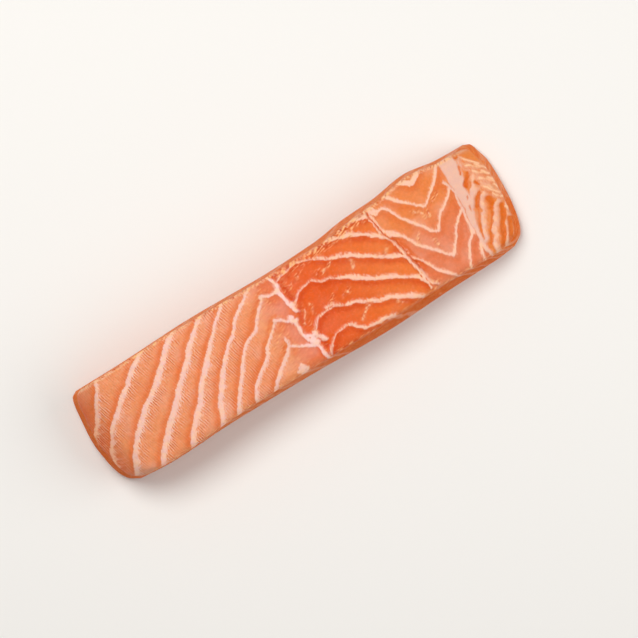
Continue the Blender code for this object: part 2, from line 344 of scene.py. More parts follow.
# Noise of the material, as (size, detail, seed): the grain, the bending of the threads, and patches that
# are darker, creamier or wetter
GRAIN = (0.7, 3.0, 2.0)
THREAD_BENDS = (7.0, 4.0, 5.0)
MOTTLE = (1.3, 3.0, 3.0)
CREAM_PATCHES = (2.2, 2.0, 17.0)
WET_PATCHES = (2.5, 3.0, 13.0)

# Strokes of the material, as (direction in degrees, length, width, seed): in torn flesh, where the light
# ones are partly painted glints, and along the ragged edges of the tissue
TORN_AND_GLINT_STROKES = (8, 2.3, 0.30, 3.0)
RAGGED_STROKES = (80, 1.3, 0.5, 7.0)

# Threads: width and length of their pieces, how far they bend, and how strongly light and dark ones show
THREAD_PIECE = (1.1, 3.2)
THREAD_BEND = 13.0
LIGHT_THREAD = 0.52
DARK_THREAD = 0.78

# Settings of the wet flesh that are the same all over, and the depth of its bump in metres
FLESH_SETTINGS = {
    "Metallic": 0.0,
    "IOR": 1.36,
    "Coat Roughness": 0.15,
    "Coat IOR": 1.33,
    "Subsurface Weight": 0.12,
    "Subsurface Scale": 0.0015,
}
BUMP_DEPTH = 0.0003

# The photograph looks straight down. Its side in pixels and its scale, the place and turn of the strip
# in it, and in metres the level to which the scale applies and the height of the camera
IMAGE_SIDE = 638
MM_PER_PIXEL = 0.37
STRIP_AT = (298.2, 313.6)
STRIP_TURN = math.radians(32)
FACE_LEVEL = 0.008
CAMERA_HEIGHT = 4.0
SENSOR_MM = 36.0

# Pale studio, in metres: floor, soft lights as (name, place, size, power, colour), and surround
FLOOR_SIDE = 6.0
FLOOR_LEVEL = -0.0002
FLOOR_COLOUR = (0.84, 0.83, 0.81, 1.0)
FLOOR_ROUGHNESS = 0.7
LIGHTS = (
    ("key", (-0.10, 0.36, 0.80), 0.45, 4.9, (1.0, 0.98, 0.95)),
    ("fill", (0.60, -0.30, 0.55), 0.8, 3.3, (1.0, 0.98, 0.96)),
)
SURROUND_COLOUR = (1.0, 0.99, 0.97, 1.0)
SURROUND_STRENGTH = 0.33


def curve(stations, at):
    """Height at each place on the smooth curve through the stations, with its crests at stations."""
    place, value = np.array(stations, dtype=float).T
    step = np.diff(place)
    rise = np.diff(value) / step
    before, after = rise[:-1], rise[1:]
    same_way = before * after > 0
    total = np.where(same_way, before + after, 1.0)
    inner = np.where(same_way, 2 * before * after / total, 0.0)
    slope = np.concatenate(([rise[0]], inner, [rise[-1]]))
    at = np.clip(at, place[0], place[-1])
    k = np.clip(np.searchsorted(place, at) - 1, 0, len(step) - 1)
    t = (at - place[k]) / step[k]
    start = value[k] * (1 + 2 * t) * (1 - t) ** 2 + value[k + 1] * t * t * (3 - 2 * t)
    return start + step[k] * t * (1 - t) * (slope[k] * (1 - t) - slope[k + 1] * t)


def smooth_step(value, low, high):
    """0 below low, 1 above high and an S curve between."""
    t = np.clip((value - low) / (high - low), 0.0, 1.0)
    return t * t * (3 - 2 * t)


def bump(distance, width):
    """1 on a line and falling away over the width."""
    return np.exp(-(distance / width) ** 2)


def noise(points, size, seed):
    """Smooth random value from -1 to 1 at each (x, y, z) point, changing over about `size`."""
    table = np.random.default_rng(seed).uniform(-1, 1, (NOISE_TABLE,) * 3)
    cell = np.floor(points / size).astype(int)
    part = points / size - cell
    part = part * part * (3 - 2 * part)
    total = np.zeros(len(points))
    for corner in itertools.product((0, 1), repeat=3):
        weight = np.prod(np.where(np.array(corner) == 1, part, 1 - part), axis=1)
        total += weight * table[tuple(((cell + corner) % NOISE_TABLE).T)]
    return total


def inset(level, lean):
    """How far the side stands in at a level, 0 at the underside and 1 at the boned face."""
    foot = FOOT_ROUND * np.clip(1 - level / FOOT_SHARE, 0, 1) ** 2
    return lean * level ** 2 + foot


def plan(u, v, level):
    """Place in plan of the grid point (u, v), both -1 to 1, on the outline at a level."""
    left = -LENGTH / 2 + curve(LOIN_END, v) + inset(level, LOIN_LEAN)
    right = LENGTH / 2 - curve(FLAP_END, v) - inset(level, FLAP_LEAN)
    x = left + (right - left) * (u + 1) / 2
    middle, reach, offset = ROW_SLANT
    x = x - offset * v * (1 - u ** 2) * np.exp(-((x - middle) / reach) ** 2)
    low = -curve(LOWER_SIDE, x) + inset(level, curve(LOWER_LEAN, x))
    high = curve(UPPER_SIDE, x) - inset(level, curve(UPPER_LEAN, x))
    y = low + (high - low) * (v + 1) / 2
    return x, y, (x - left, right - x, y - low, high - y)


def face_height(x, y, edges):
    """Height of the boned face without its fine relief."""
    loin, flap, low, high = edges
    height = curve(HEIGHT, x) + CROWN * (1 - ((low - high) / (low + high)) ** 2)
    near_side = np.minimum(low, high)
    for distance, (drop, reach) in ((loin, LOIN_ROUND), (flap, FLAP_ROUND), (near_side, SIDE_ROUND)):
        height = height - drop * np.clip(1 - distance / reach, 0, 1) ** 2
    depth, width = RIB_STEP
    return height - depth * smooth_step(x - curve(RIB_EDGE, y), -width / 2, width / 2)


def trace(points, step=1.0):
    """Points about a step apart along the smooth line through the given points."""
    points = np.array(points, dtype=float)
    reach = np.concatenate(([0.0], np.cumsum(np.hypot(*np.diff(points, axis=0).T))))
    at = np.linspace(0, reach[-1], max(2, int(reach[-1] / step) + 1))
    return np.column_stack([curve(np.column_stack((reach, points[:, i])), at) for i in (0, 1)])


def off_path(x, y, path, reach):
    """Distance of each place from the path, above zero on its left as it is drawn; at most the reach."""
    low, high = path.min(axis=0) - reach, path.max(axis=0) + reach
    near = np.flatnonzero((x > low[0]) & (x < high[0]) & (y > low[1]) & (y < high[1]))
    best = np.full(len(near), float(reach))
    side = np.ones(len(near))
    px, py = x[near], y[near]
    for (ax, ay), (bx, by) in zip(path[:-1], path[1:]):
        dx, dy = bx - ax, by - ay
        share = np.clip(((px - ax) * dx + (py - ay) * dy) / (dx * dx + dy * dy), 0, 1)
        distance = np.hypot(px - ax - share * dx, py - ay - share * dy)
        closer = distance < best
        best[closer] = distance[closer]
        side[closer] = np.where(dx * (py - ay) - dy * (px - ax) > 0, 1.0, -1.0)[closer]
    result = np.full(len(x), float(reach))
    result[near] = best * side
    return result


def across(distance, half, lead, trail):
    """Paleness across a line: it starts within the lead and fades over the trail."""
    start = smooth_step(distance, -half - lead, -half + lead)
    return start * np.exp(-np.maximum(distance - half, 0) / trail)


class Pattern:
    """Paleness, depth of colour and fine relief over the strip, at places (x, y, z) in millimetres."""

    def __init__(self, x, y, points):
        self.points = points
        self.x = x + WANDER * noise(points, WANDER_SIZE, 11) + TREMBLE * noise(points, TREMBLE_SIZE, 12)
        self.y = y + WANDER * noise(points, WANDER_SIZE, 13) + TREMBLE * noise(points, TREMBLE_SIZE, 14)
        self.pale = np.zeros(len(x))
        self.deep = np.zeros(len(x))
        self.relief = np.zeros(len(x))
        self.fibre = np.full(len(x), FIBRE_REST)
        self.torn_and_glint = np.zeros(len(x))
        self.cream = np.zeros(len(x))
        self.past_edge = self.x - curve(RIB_EDGE, self.y)
        self.past_fat = self.x - curve(FAT_FAR, self.y)

    def lift(self, pale):
        """Make places at least this pale."""
        self.pale = np.maximum(self.pale, pale)

    def deepen_and_shade(self, deep):
        """Make the flesh's colour at least this deep; in the rib edge's gutter and hollow this is painted
        shade.
        """
        self.deep = np.maximum(self.deep, deep)

    def tint(self, cream):
        """Make the pale tissue at least this creamy; on the far edge and the flecks this is partly
        painted highlight.
        """
        self.cream = np.maximum(self.cream, cream)

    def tear_and_glint(self, torn_and_glint):
        """Let torn strokes, whose light ones are partly painted glints, show at least this much."""
        self.torn_and_glint = np.maximum(self.torn_and_glint, torn_and_glint)

    def off(self, points, reach=6.0):
        """Distance from the smooth line through the points, above zero on its left."""
        return off_path(self.x, self.y, trace(points), reach)

    def loin(self):
        """Slanting pale sheets, crisp toward the thick end and fading into the block behind them."""
        swell = 1 + 0.30 * noise(self.points, 8.0, 21)
        width, fade = curve(LOIN_WIDTH, self.x) * swell, curve(LOIN_FADE, self.x) * swell
        beyond = tuple(tuple((px + shift, py) for px, py in LOIN_LINES[0]) for shift in HIDDEN_SHEETS)
        for points in LOIN_LINES + beyond:
            distance = self.off(points, 9.0)
            self.lift(0.92 * across(distance, width, 0.22, fade))
            self.lift(0.20 * across(distance, width, 0.22, 3.5 * fade))
            self.deepen_and_shade(0.75 * bump(distance + width + 0.8, 1.4))
            self.relief -= 0.10 * bump(distance + width + 0.3, 0.6)
            behind = smooth_step(distance, 0.4, 1.6) * (1 - smooth_step(distance, 3.6, 7.0))
            self.fibre = np.maximum(self.fibre, behind)

    def seam(self):
        """Tissue lines, knots and red pockets where the loin meets the belly."""
        swell = 1 + 0.45 * noise(self.points, 2.5, 22)
        for points in POCKETS:
            pocket = bump(self.off(points, 3.0), POCKET_WIDTH)
            self.deepen_and_shade(pocket)
            self.relief -= 0.40 * pocket
        for points in SEAM_LINES:
            distance = self.off(points, 3.0)
            self.lift(0.92 * across(distance, SEAM_WIDTH * swell, 0.25, 0.30))
            self.relief += 0.15 * bump(distance, 0.8)
        for px, py, radius in KNOTS:
            distance = np.hypot(self.x - px, self.y - py) / (radius * swell)
            self.lift(1 - smooth_step(distance, 0.35, 1.0))
            self.relief += 0.30 * bump(distance, 0.8)
        px, py, radius = PATCH
        distance = np.abs(self.x - px) + np.abs(self.y - py) * 0.9
        self.lift(0.95 * (1 - smooth_step(distance, radius * 0.7, radius * 1.2)))

    def ribs(self):
        """Ragged lines over the smooth upper belly."""
        swell = 1 + 0.40 * noise(self.points, 3.5, 23) + 0.40 * noise(self.points, 1.2, 24)
        width = curve(RIB_WIDTH, self.x) * swell
        strength = curve(RIB_STRENGTH, self.x) * (1 + 0.2 * noise(self.points, 2.0, 45))
        for points in RIB_LINES:
            distance = self.off(points)
            self.lift(strength * across(distance, width, 0.18, 0.40))
            self.deepen_and_shade(0.60 * bump(distance + width + 0.9, 1.3))
            self.relief += 0.20 * bump(distance, 0.75)

    def tears(self, edges):
        """Torn strokes, the light ones partly painted glints, along the cut edges and beside the seam,
        and frayed cream fibres on the far edge with a painted highlight.
        """
        _, _, low, high = edges
        ribs = smooth_step(self.x, -2.0, 1.0) * (1 - smooth_step(self.x, 36.0, 44.0))
        self.tear_and_glint(ribs * (1 - smooth_step(high, 2.0, 5.0)))
        for edge in (low, high):
            self.tear_and_glint(0.85 * (1 - smooth_step(edge, 0.4, 1.6)))
        self.tear_and_glint(0.60 * bump(self.x - 1.6, 2.2))
        self.tear_and_glint(0.50 * bump(self.x + 10.0, 8.0))
        # Painted highlight along the far edge, over its frayed fibres: paler and creamier
        fringe_and_highlight = 1 - smooth_step(high, 0.5, 1.8)
        self.lift(0.32 * fringe_and_highlight)
        self.tint(0.8 * fringe_and_highlight)

    def flecks_and_glints(self):
        """Broken cream flecks on the belly in torn flesh, partly painted glints."""
        broken = noise(self.points, 0.9, 46)
        for points in FLECKS_AND_GLINTS:
            distance = self.off(points, 3.0)
            speck = smooth_step(broken, -0.2, 0.4) * bump(distance, FLECK_WIDTH)
            around = bump(distance, FLECK_SPREAD)
            self.lift(0.50 * speck)
            self.tint(0.9 * speck)
            self.tear_and_glint(0.9 * around)
            self.deepen_and_shade(0.5 * smooth_step(-broken, 0.0, 0.5) * around)

    def edge(self):
        """Membrane along the trimmed rib edge, and its gutter and hollow, pressed in and darkened with
        painted shade.
        """
        swell = 1 + 0.35 * noise(self.points, 2.0, 25)
        for points in EDGE_LINES:
            distance = self.off(points, 3.0)
            self.lift(0.95 * across(distance, EDGE_WIDTH * swell, 0.25, 0.30))
            self.relief += 0.35 * bump(distance, 0.8)
        for half, points in EDGE_WEDGES:
            self.lift(0.85 * across(np.abs(self.off(points, 4.0)), half * swell, 0.2, 0.3))
        gutter = bump(self.off(GUTTER_LINE, 3.0), 0.42)
        hollow = bump(self.off(HOLLOW_LINE, 4.0), 1.1)
        # Painted shade: the gutter loses its paleness and the gutter and hollow take the deep colour
        self.pale *= 1 - 0.9 * gutter
        self.deepen_and_shade(np.maximum(gutter, 0.9 * hollow))
        self.relief -= 0.80 * gutter + 0.45 * hollow

    def chevrons(self):
        """Folded lines of the lower belly."""
        swell = 1 + 0.30 * noise(self.points, 4.0, 26)
        for half, points in CHEVRON_LINES:
            distance = self.off(points)
            self.lift(0.95 * across(distance, half * swell, 0.18, 0.34))
            self.deepen_and_shade(0.50 * bump(distance + 1.6, 1.3))
            self.relief += 0.12 * bump(distance, 0.8)
            self.relief -= 0.12 * bump(distance + 1.2, 0.8)

    def fat(self):
        """Band of fat where the flap begins."""
        near = self.x - curve(FAT_NEAR, self.y)
        self.lift(0.97 * smooth_step(near, -0.3, 0.3) * (1 - smooth_step(self.past_fat, -0.9, 0.6)))
        self.relief += 0.40 * smooth_step(near, -0.5, 1.2) * (1 - smooth_step(self.past_fat, -1.2, 1.2))

    def flap(self):
        """Stripes that fade from pale to orange, the furrows and slots, and the streaked rim."""
        swell = 1 + 0.35 * noise(self.points, 2.5, 27)
        stagger = 0.55 * noise(self.points, 1.3, 30)
        for points in STRIPES:
            distance = self.off(points) + stagger
            fade = 1 - smooth_step(distance, STRIPE_PALE, STRIPE_FADED)
            self.lift(0.90 * smooth_step(distance, -0.15, 0.25) * fade)
            self.relief += 0.18 * bump(distance - 0.7, 1.0)
        self.rim()
        for half, points in FURROWS:
            distance = np.abs(self.off(points)) - half * swell
            furrow = 1 - smooth_step(distance, -0.45, 0.45)
            self.pale *= 1 - 0.90 * furrow
            self.deepen_and_shade(0.8 * furrow)
            self.relief -= 0.45 * (1 - smooth_step(distance, -0.9, 0.7))

    def rim(self):
        """Whitish rim with fine cream streaks."""
        shape = smooth_step(self.x - curve(RIM_NEAR, self.y), -0.6, 0.8)
        shape *= smooth_step(curve(RIM_FAR, self.y) - self.x, -0.4, 0.8)
        self.lift(shape * (0.64 + 0.32 * noise(self.points, 2.2, 28)))
        for px, py, turn, length in RIM_STREAKS:
            angle = math.radians(turn)
            tip = (px + length * math.cos(angle), py + length * math.sin(angle))
            distance = self.off(((px, py), tip), 2.0)
            gap = bump(distance + 0.95, 0.45)
            self.pale *= 1 - 0.45 * gap
            self.deepen_and_shade(0.5 * gap)
            streak = across(distance, 0.22, 0.22, 0.26)
            self.lift(0.95 * streak)
            self.tint(streak)
            self.relief += 0.12 * streak

    def draw(self, edges):
        """Draw all of it; what belongs to the loin ends at the seam."""
        self.loin()
        loin_side = 1 - smooth_step(self.x, -2.4, -0.6)
        self.pale *= loin_side
        self.deep *= loin_side
        self.relief *= loin_side
        patchy = np.clip(0.7 + 0.7 * noise(self.points, 5.0, 42), 0, 1)
        self.fibre *= (1 - smooth_step(self.x, -24, -9)) * patchy
        self.ribs()
        self.chevrons()
        self.seam()
        self.edge()
        self.fat()
        self.flap()
        self.tears(edges)
        self.flecks_and_glints()
        return self


def linear(colour):
    """Linear colour of a screen colour given from 0 to 255."""
    share = np.array(colour, dtype=float) / 255
    return np.where(share <= 0.04045, share / 12.92, ((share + 0.055) / 1.055) ** 2.4)


def blend(share, a, b):
    """Colours from a to b by a share for each vertex."""
    return a * (1 - share[:, None]) + b * share[:, None]


def flesh_colours(pattern, inland, belly, lower, flap):
    """Flesh of every vertex: loin with painted shade at its thick end, seam, ribs, folded lower belly and
    flap.
    """
    flesh = blend(inland, linear(SHADED_END_FLESH), linear(LOIN_FLESH))
    flesh = blend(smooth_step(pattern.x, -14, -5), flesh, linear(SEAM_FLESH))
    ribs = blend(smooth_step(pattern.x, 6, 42), linear(RIB_FLESH), linear(RIB_FAR_FLESH))
    flesh = blend(belly, flesh, ribs)
    folded = blend(smooth_step(pattern.y, -6, 12), linear(BELLY_LOW_FLESH), linear(BELLY_FLESH))
    flesh = blend(lower, flesh, folded)
    return blend(flap, flesh, linear(FLAP_FLESH))


def deep_colours(belly, lower, flap):
    """Deeper flesh of every vertex."""
    deep = blend(belly, linear(LOIN_DEEP), linear(RIB_DEEP))
    deep = blend(lower, deep, linear(BELLY_DEEP))
    return blend(flap, deep, linear(FLAP_DEEP))


def tissue_colours(pattern, inland, belly):
    """Pale tissue of every vertex: loin with painted shade at its thick end, belly, band of fat, flap and
    seam.
    """
    tissue = blend(belly, blend(inland, linear(SHADED_END_PALE), linear(LOIN_PALE)), linear(BELLY_PALE))
    tissue = blend(smooth_step(pattern.x, *FAT_START), tissue, linear(FAT_PALE))
    tissue = blend(smooth_step(pattern.past_fat, 0.5, 4.5), tissue, linear(FLAP_PALE))
    return blend(bump(pattern.x + 1.0, 5.0), tissue, linear(SEAM_PALE))


def zone_colours(pattern):
    """Flesh, deep flesh and pale tissue of every vertex, with a rosy haze over the flesh."""
    inland = smooth_step(pattern.x, -90, -79)
    belly = smooth_step(pattern.x, -2.0, 0.4)
    lower = smooth_step(pattern.past_edge, -0.8, 0.8)
    flap = smooth_step(pattern.past_fat, -2.0, 0.5)
    tissue = tissue_colours(pattern, inland, belly)
    rosy = np.clip(0.1 + 0.9 * noise(pattern.points, 5.0, 43), 0, 1)
    rosy = rosy * (0.28 - 0.20 * belly * (1 - lower)) * smooth_step(pattern.x, -90, -76)
    flesh = blend(rosy, flesh_colours(pattern, inland, belly, lower, flap), tissue)
    return flesh, deep_colours(belly, lower, flap), tissue


def side_colours(pattern):
    """Flesh of the cut sides, with painted shade along the belly and a lighter painted reflection on the
    far side.
    """
    flesh = blend(bump(pattern.x - 46, 28), linear(SIDE_FLESH), linear(SHADED_BELLY_SIDE_FLESH))
    return blend(smooth_step(pattern.y, -3, 3), flesh, linear(FAR_SIDE_REFLECTION_FLESH))


def vertex_values(pattern, side):
    """Numbers that the material reads at every vertex."""
    x = pattern.x
    upper_belly = smooth_step(x, -1.0, 1.0) * (1 - smooth_step(pattern.past_edge, -1.0, 1.0))
    rib_rag = upper_belly * (0.27 * smooth_step(x, 10.0, 24.0) - 0.12)
    on_fat = smooth_step(x, *FAT_START) * (1 - smooth_step(pattern.past_fat, 0.0, 3.0))
    return {
        "pale": pattern.pale * (1 - 0.60 * side),
        "side": side,
        "fibre": pattern.fibre * (1 - side),
        "creamy": 1 - 0.70 * on_fat,
        # Cream tint, partly painted highlight on the far edge and the flecks
        "cream": pattern.cream * (1 - side),
        # Torn strokes, their light ones partly painted glints, on the face and the cut sides
        "torn_and_glint": np.maximum(pattern.torn_and_glint * (1 - side), 0.46 * side),
        "ragged": (0.40 + rib_rag - 0.25 * smooth_step(x, 68.0, 73.0)) * (1 - 0.6 * side),
    }


def paint(mesh, pattern, level):
    """Store the pattern on the vertices for the material to read."""
    side = 1 - smooth_step(level, *SIDE_TOP)
    flesh, deep, tissue = zone_colours(pattern)
    # Deep colour over the flesh; in the rib edge's gutter and hollow it is painted shade
    flesh = blend(np.clip(pattern.deep + 0.20 * noise(pattern.points, 7.0, 41), 0, 1), flesh, deep)
    # The cut sides take their colour, with its painted shade along the belly and painted reflection on
    # the far side
    flesh = blend((0.85 - 0.25 * bump(pattern.x + 50, 35)) * side, flesh, side_colours(pattern))
    for name, colour in (("flesh", flesh), ("tissue", tissue)):
        layer = mesh.attributes.new(name, "FLOAT_COLOR", "POINT")
        layer.data.foreach_set("color", np.column_stack((colour, np.ones(len(side)))).ravel())
    for name, value in vertex_values(pattern, side).items():
        layer = mesh.attributes.new(name, "FLOAT", "POINT")
        layer.data.foreach_set("value", value)


def grid_cube(rows):
    """Closed cube from -1 to 1 whose faces are cut into rows along each axis."""
    bm = bmesh.new()
    bmesh.ops.create_cube(bm, size=2.0)
    for axis, count in enumerate(rows):
        runs = [e for e in bm.edges if abs(e.verts[0].co[axis] - e.verts[1].co[axis]) > 1.0]
        bmesh.ops.subdivide_edges(bm, edges=runs, cuts=count - 1, use_grid_fill=True)
    return bm


def merge_underside(bm):
    """Merge the underside's small squares into larger ones, where nothing fine shows."""
    def between_rows(edge):
        """Whether the edge lies along one of the rows that go."""
        a, b = (v.co for v in edge.verts)
        if a.z > -ON_FACE or b.z > -ON_FACE:
            return False
        fixed = 0 if abs(a.x - b.x) < abs(a.y - b.y) else 1
        row = round((a[fixed] + 1) / 2 * ROWS[fixed])
        return 0 < row < ROWS[fixed] and row % UNDERSIDE_MERGE != 0
    edges = [e for e in bm.edges if between_rows(e)]
    bmesh.ops.dissolve_edges(bm, edges=edges, use_verts=True)


def build_mesh():
    """Fine mesh still in the form of a cube, with its vertices' places and its faces' directions."""
    bm = grid_cube(ROWS)
    merge_underside(bm)
    mesh = bpy.data.meshes.new("fillet_flesh")
    bm.to_mesh(mesh)
    bm.free()
    cube = np.empty(len(mesh.vertices) * 3)
    mesh.vertices.foreach_get("co", cube)
    facing = np.empty(len(mesh.polygons) * 3)
    mesh.polygons.foreach_get("normal", facing)
    return mesh, cube.reshape(-1, 3), facing.reshape(-1, 3)


def shape(cube):
    """Points of the strip in millimetres for the cube's vertices, with the pattern and the levels."""
    sides = zip(np.clip(cube, -1, 1).T, CROWDING)
    u, v, w = (side + crowd * side * (1 - side ** 2) for side, crowd in sides)
    level = (w + 1) / 2
    top_x, top_y, edges = plan(u, v, 1.0)
    x, y, _ = plan(u, v, level)
    height = face_height(top_x, top_y, edges)
    depth = (1 - level) * height
    points = np.column_stack((x, y, level * height))
    pattern = Pattern(top_x - SHEET_LEAN * depth, top_y, points).draw(edges)
    inland = smooth_step(np.min(edges, axis=0), 0.0, 1.5)
    rough = ROUGH * noise(points, ROUGH_SIZE, 31) + FINE_ROUGH * noise(points, FINE_ROUGH_SIZE, 32)
    points[:, 2] = level * (height + (pattern.relief + rough) * (0.35 + 0.65 * inland))
    return points, pattern, level


def dent_sides(points, cube, pattern, level):
    """Press the cut sides in unevenly, and a little more between the pale sheets."""
    on_side = np.where(np.abs(cube[:, :2]) > ON_FACE, np.sign(cube[:, :2]), 0.0)
    dent = DENT + 0.30 * noise(points, 3.5, 33) + 0.15 * noise(points, 1.2, 34) - 0.5 * pattern.relief
    away_from_edges = smooth_step(level, 0.15, 0.5) * (1 - smooth_step(level, 0.9, 1.0))
    points[:, :2] -= on_side * (np.clip(dent, 0.0, DEEPEST_DENT) * away_from_edges)[:, None]


def unwrap(mesh, points, facing):
    """Lay the six sides out beside each other, at one scale, in one square."""
    corner = np.empty(len(mesh.loops), dtype=np.int32)
    mesh.loops.foreach_get("vertex_index", corner)
    total = np.empty(len(mesh.polygons), dtype=np.int32)
    mesh.polygons.foreach_get("loop_total", total)
    side = np.repeat(facing, total, axis=0)
    x, y, z = (points[corner] + SHEET_CORNER).T
    top, bottom = side[:, 2] > 0.5, side[:, 2] < -0.5
    far, close = side[:, 1] > 0.5, side[:, 1] < -0.5
    loin, flap = side[:, 0] < -0.5, side[:, 0] > 0.5
    across_sheet = np.where(loin, y, np.where(flap, y + FLAP_COLUMN, x))
    below, behind, before, at_ends = SHEET_ROWS
    rows = (y, y + below, z + behind, z + before, z + at_ends)
    up_sheet = np.select((top, bottom, far, close, loin | flap), rows)
    layer = mesh.uv_layers.new(name="OFBake")
    layer.data.foreach_set("uv", (np.column_stack((across_sheet, up_sheet)) / SHEET_SIDE).ravel())


def node(tree, kind, inputs=(), **settings):
    """New shader node with its settings; inputs is {socket: value or output socket}."""
    made = tree.nodes.new(kind)
    for name, value in settings.items():
        setattr(made, name, value)
    for name, value in dict(inputs).items():
        if isinstance(value, bpy.types.NodeSocket):
            tree.links.new(value, made.inputs[name])
        else:
            made.inputs[name].default_value = value
    return made


def attribute(tree, name, output="Fac"):
    """Value that the mesh stores under this name."""
    return node(tree, "ShaderNodeAttribute", attribute_name=name).outputs[output]


def maths(tree, operation, a, b=0.0, c=0.0):
    """Number worked out from up to three others."""
    return node(tree, "ShaderNodeMath", {0: a, 1: b, 2: c}, operation=operation).outputs[0]


def vector(tree, operation, a, b, output="Vector"):
    """Vector, or one number, worked out from two vectors."""
    return node(tree, "ShaderNodeVectorMath", {0: a, 1: b}, operation=operation).outputs[output]


def texture(tree, place, scale, detail):
    """Noise from 0 to 1."""
    inputs = {"Vector": place, "Scale": scale, "Detail": detail}
    return node(tree, "ShaderNodeTexNoise", inputs).outputs[0]


def spread(tree, place, size, detail, seed):
    """Noise from 0 to 1 that changes over about `size` millimetres."""
    moved = vector(tree, "ADD", place, (seed, seed * 0.7, seed * 1.3))
    return texture(tree, moved, 1 / size, detail)


def remap(tree, value, low, high, to_low=0.0, to_high=1.0):
    """Value moved from one range to another and kept in it."""
    limits = {"From Min": low, "From Max": high, "To Min": to_low, "To Max": to_high}
    return node(tree, "ShaderNodeMapRange", {"Value": value, **limits}).outputs[0]


def mix(tree, share, a, b, blend_type="MIX"):
    """Colours mixed by a share from 0 to 1."""
    made = node(tree, "ShaderNodeMix", {0: share, 6: a, 7: b}, data_type="RGBA", blend_type=blend_type)
    return made.outputs[2]


def join(tree, x, y, z=0.0):
    """Vector or colour of three numbers."""
    return node(tree, "ShaderNodeCombineXYZ", {0: x, 1: y, 2: z}).outputs[0]


def fibre_ticks(tree, place):
    """Short threads across the muscle: above 0 on a light one, below 0 in the dark line beside it."""
    cos, sin = math.cos(FIBRE_ANGLE), math.sin(FIBRE_ANGLE)
    over = vector(tree, "DOT_PRODUCT", place, (cos, sin, 0.15), "Value")
    along = vector(tree, "DOT_PRODUCT", place, (-sin, cos, 0.6), "Value")
    bend = maths(tree, "MULTIPLY", spread(tree, place, *THREAD_BENDS), THREAD_BEND)
    phase = maths(tree, "MULTIPLY_ADD", over, 2 * math.pi / FIBRE_PITCH, bend)
    width, length = THREAD_PIECE
    across_pieces = maths(tree, "MULTIPLY", over, 1 / width)
    along_pieces = maths(tree, "MULTIPLY", along, 1 / length)
    pieces = remap(tree, texture(tree, join(tree, across_pieces, along_pieces), 1.0, 3.0), 0.38, 0.60)
    return maths(tree, "MULTIPLY", maths(tree, "SINE", phase), pieces)


def strokes(tree, place, degrees, length, width, seed):
    """Random strokes from -1 to 1, drawn out one way across the face and level along the sides."""
    cos, sin = math.cos(math.radians(degrees)), math.sin(math.radians(degrees))
    along = vector(tree, "DOT_PRODUCT", place, (cos / length, sin / length, 0.0), "Value")
    over = vector(tree, "DOT_PRODUCT", place, (-sin / width, cos / width, 1 / width), "Value")
    return remap(tree, texture(tree, join(tree, along, over, seed), 1.0, 2.0), 0.30, 0.70, -1.0, 1.0)


def tissue_colour(tree, place):
    """Colour of the pale tissue, creamier in patches and where tinted, which on the far edge and the
    flecks is partly painted highlight.
    """
    tint = remap(tree, spread(tree, place, *CREAM_PATCHES), 0.40, 0.70, 0.0, 0.60)
    tint = maths(tree, "MULTIPLY", tint, attribute(tree, "creamy"))
    tint = maths(tree, "MAXIMUM", tint, attribute(tree, "cream"))
    return mix(tree, tint, attribute(tree, "tissue", "Color"), (*linear(TISSUE_CREAM), 1.0))


def tissue_share(tree, place, ticks):
    """Share of pale tissue with an uneven edge: noise counts most where the paleness is halfway."""
    pale = attribute(tree, "pale")
    ragged = strokes(tree, place, *RAGGED_STROKES)
    uneven = maths(tree, "MULTIPLY", ragged, attribute(tree, "ragged"))
    uneven = maths(tree, "MULTIPLY_ADD", ticks, 0.35, uneven)
    halfway = maths(tree, "MULTIPLY", pale, maths(tree, "SUBTRACT", 1.0, pale))
    halfway = maths(tree, "MULTIPLY", halfway, 6.0)
    return remap(tree, maths(tree, "MULTIPLY_ADD", uneven, halfway, pale), 0.06, 0.90)


def muscle_colour(tree, place, ticks, grain, tissue):
    """Colour of the muscle with light and dark threads, mottling and pale grain."""
    light = maths(tree, "MULTIPLY", remap(tree, ticks, 0.0, 1.0), LIGHT_THREAD)
    dark = maths(tree, "MULTIPLY", remap(tree, ticks, 0.0, -1.0), DARK_THREAD)
    flesh = mix(tree, light, attribute(tree, "flesh", "Color"), tissue)
    flesh = mix(tree, dark, flesh, (*linear(FIBRE_DARK), 1.0))
    mottle = remap(tree, spread(tree, place, *MOTTLE), 0.3, 0.7, 0.94, 1.06)
    flesh = mix(tree, 1.0, flesh, join(tree, mottle, mottle, mottle), "MULTIPLY")
    return mix(tree, remap(tree, grain, 0.54, 0.76, 0.0, 0.10), flesh, tissue)


def torn_and_glint_colour(tree, colour, stroke_and_glint):
    """The colour with short torn strokes over it: dark ones, and light ones that are partly painted
    glints.
    """
    light = remap(tree, stroke_and_glint, 0.10, 0.60, 0.0, 0.85)
    dark = remap(tree, stroke_and_glint, -0.15, -0.70, 0.0, 0.65)
    colour = mix(tree, light, colour, (*linear(GLINT_AND_STROKE_PALE), 1.0))
    return mix(tree, dark, colour, (*linear(STROKE_DARK), 1.0))


def wet_film(tree, shader, place):
    """Moist gloss in patches on the face, and a duller finish on the cut sides."""
    side = attribute(tree, "side")
    wet = remap(tree, spread(tree, place, *WET_PATCHES), 0.3, 0.7, 0.28, 0.48)
    finish = (
        ("Roughness", wet, 0.35),
        ("Coat Weight", 0.15, -0.15),
        ("Specular IOR Level", 0.20, -0.15),
    )
    for socket, on_face, added_on_side in finish:
        tree.links.new(maths(tree, "MULTIPLY_ADD", side, added_on_side, on_face), shader.inputs[socket])


